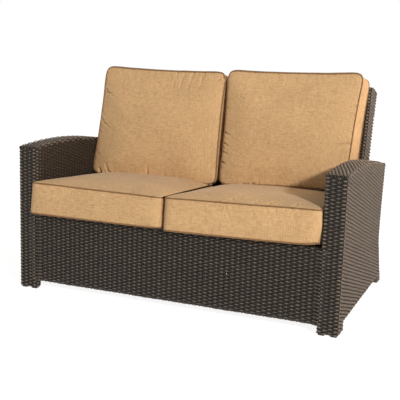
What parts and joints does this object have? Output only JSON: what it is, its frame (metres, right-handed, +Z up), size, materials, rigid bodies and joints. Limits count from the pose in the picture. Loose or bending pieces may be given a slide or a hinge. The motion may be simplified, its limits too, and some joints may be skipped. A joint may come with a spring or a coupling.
{
  "type": "patio loveseat",
  "caption": "Wide woven-wicker porch seat with arched arms, splayed rear legs, reclined back and loose piped box cushions on the seat and back.",
  "frame": {"origin": "on the floor, under the middle of the outline", "axes": "+X to the right of someone who faces the front, +Y from the front to the back, +Z up"},
  "size_m": [1.35, 0.8384, 0.9034],
  "materials": {
    "frame_tube": "dark brown powder coat, satin",
    "wicker": "flat resin strands, plain woven, dark brown, slight sheen",
    "glide": "moulded, matt",
    "cushion_cover": "plain woven outdoor fabric with slubs",
    "cushion_welt": "fabric piping",
    "cushion_core": "foam"
  },
  "bodies": {
    "frame": {"apron_bottom_rail": "frame_tube", "apron_weave": "wicker", "arm_bottom_rail_left": "frame_tube", "arm_bottom_rail_right": "frame_tube", "arm_front_post_inner_left": "frame_tube", "arm_front_post_inner_right": "frame_tube", "arm_front_post_outer_left": "frame_tube", "arm_front_post_outer_right": "frame_tube", "arm_front_wrap_left": "wicker", "arm_front_wrap_right": "wicker", "arm_inner_panel_left": "wicker", "arm_inner_panel_right": "wicker", "arm_outer_panel_left": "wicker", "arm_outer_panel_right": "wicker", "arm_rear_post_inner_left": "frame_tube", "arm_rear_post_inner_right": "frame_tube", "arm_rear_post_outer_left": "frame_tube", "arm_rear_post_outer_right": "frame_tube", "arm_rear_wrap_left": "wicker", "arm_rear_wrap_right": "wicker", "arm_side_leg_left": "frame_tube", "arm_side_leg_right": "frame_tube", "arm_top_rail_inner_left": "frame_tube", "arm_top_rail_inner_right": "frame_tube", "arm_top_rail_outer_left": "frame_tube", "arm_top_rail_outer_right": "frame_tube", "arm_top_weave_left": "wicker", "arm_top_weave_right": "wicker", "back_bottom_rail": "frame_tube", "back_end_weave_left": "wicker", "back_end_weave_right": "wicker", "back_front_weave": "wicker", "back_middle_stile": "frame_tube", "back_post_left": "frame_tube", "back_post_right": "frame_tube", "back_rear_weave": "wicker", "back_stile_left": "frame_tube", "back_stile_right": "frame_tube", "back_top_front_rail": "frame_tube", "back_top_rear_rail": "frame_tube", "back_top_weave": "wicker", "foot_glides": "glide", "seat_deck": "wicker", "seat_front_rail": "frame_tube", "seat_middle_bar": "frame_tube", "seat_rear_rail": "frame_tube", "seat_side_rail_left": "frame_tube", "seat_side_rail_right": "frame_tube"},
    "seat_cushion_left": {"seat_cushion_left_core": "cushion_core", "seat_cushion_left_cover": "cushion_cover", "seat_cushion_left_welts": "cushion_welt"},
    "seat_cushion_right": {"seat_cushion_right_core": "cushion_core", "seat_cushion_right_cover": "cushion_cover", "seat_cushion_right_welts": "cushion_welt"},
    "back_cushion_left": {"back_cushion_left_core": "cushion_core", "back_cushion_left_cover": "cushion_cover", "back_cushion_left_welts": "cushion_welt"},
    "back_cushion_right": {"back_cushion_right_core": "cushion_core", "back_cushion_right_cover": "cushion_cover", "back_cushion_right_welts": "cushion_welt"}
  },
  "joints": [
    {"name": "seat_cushion_left_lift_off", "type": "slide", "parent": "frame", "child": "seat_cushion_left", "axis": [0, -0.9979, 0.0645], "range_m": [0, 0.6]},
    {"name": "seat_cushion_right_lift_off", "type": "slide", "parent": "frame", "child": "seat_cushion_right", "axis": [0, -0.9979, 0.0645], "range_m": [0, 0.6]},
    {"name": "back_cushion_left_lift_off", "type": "slide", "parent": "frame", "child": "back_cushion_left", "axis": [0, 0.2079, 0.9781], "range_m": [0, 0.5]},
    {"name": "back_cushion_right_lift_off", "type": "slide", "parent": "frame", "child": "back_cushion_right", "axis": [0, 0.2079, 0.9781], "range_m": [0, 0.5]}
  ]
}
